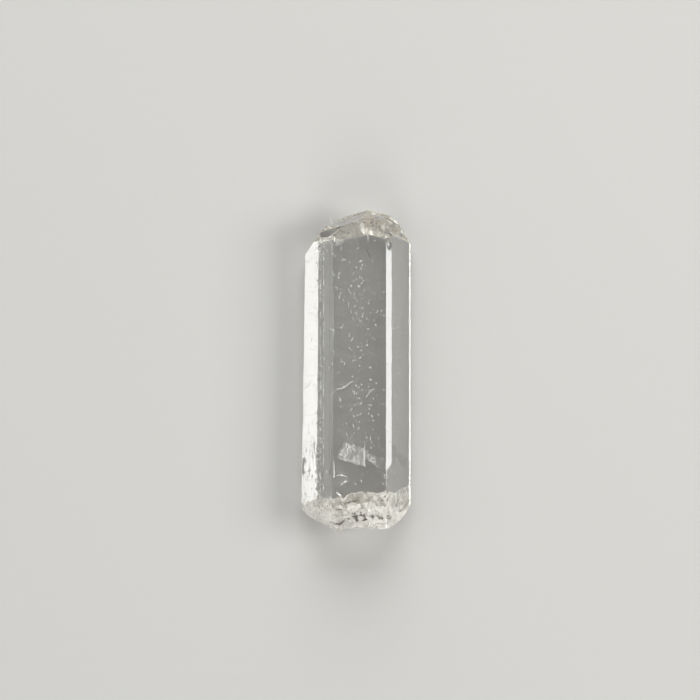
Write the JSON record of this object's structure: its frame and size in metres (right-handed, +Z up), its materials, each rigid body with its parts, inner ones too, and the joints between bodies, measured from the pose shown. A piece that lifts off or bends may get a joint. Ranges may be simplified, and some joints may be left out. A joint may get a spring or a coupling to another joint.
{
  "type": "phenakite crystal",
  "caption": "Clear flattened prism of natural phenakite with a low faceted tip, a striated bevel and an undercut, hackly broken end.",
  "frame": {"origin": "on the surface the crystal rests on, below the middle of its box", "axes": "+Y along the crystal's length (its c-axis) towards the faceted tip, +X across it towards the plain bevel, +Z up from the rest face"},
  "size_m": [0.0062, 0.018, 0.0026],
  "materials": {
    "phenakite": "colourless clear crystal, IOR 1.66, glassy growth faces, fine growth ledges on one bevel, hackly frosted break at one end"
  },
  "bodies": {
    "root": {"phenakite_crystal": "phenakite"}
  },
  "joints": []
}
